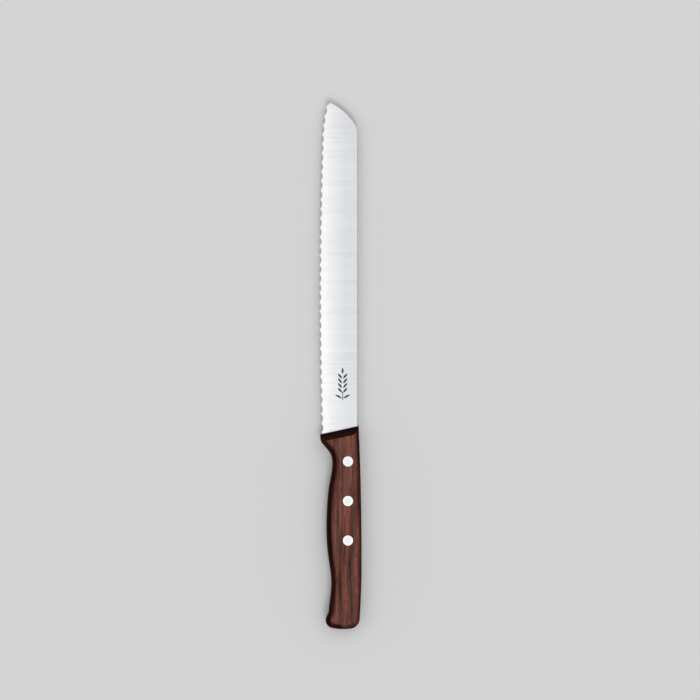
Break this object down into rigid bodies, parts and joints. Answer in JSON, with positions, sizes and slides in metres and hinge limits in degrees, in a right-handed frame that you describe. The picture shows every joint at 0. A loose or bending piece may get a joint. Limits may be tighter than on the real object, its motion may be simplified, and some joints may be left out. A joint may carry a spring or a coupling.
{
  "type": "bread knife",
  "caption": "Serrated bread knife with a long straight steel blade, dropped point and riveted wooden handle scales on a full tang.",
  "frame": {"origin": "middle of the knife's footprint (bounding box centre in X and Y), on the surface it lies on, with its right side down", "axes": "+X from the butt of the handle to the tip, +Y from the spine to the cutting edge, +Z out of the left face of the blade"},
  "size_m": [0.335, 0.0268, 0.017],
  "materials": {
    "blade_steel": "fine satin, ground across the blade",
    "handle_wood": "dark reddish brown, close streaked grain, satin oiled",
    "rivet_metal": "sanded flush, satin"
  },
  "bodies": {
    "root": {"blade": "blade_steel", "handle_scale_left": "handle_wood", "handle_scale_right": "handle_wood", "rivet_front_pin": "rivet_metal", "rivet_front_socket": "rivet_metal", "rivet_middle_pin": "rivet_metal", "rivet_middle_socket": "rivet_metal", "rivet_rear_pin": "rivet_metal", "rivet_rear_socket": "rivet_metal"}
  },
  "joints": []
}
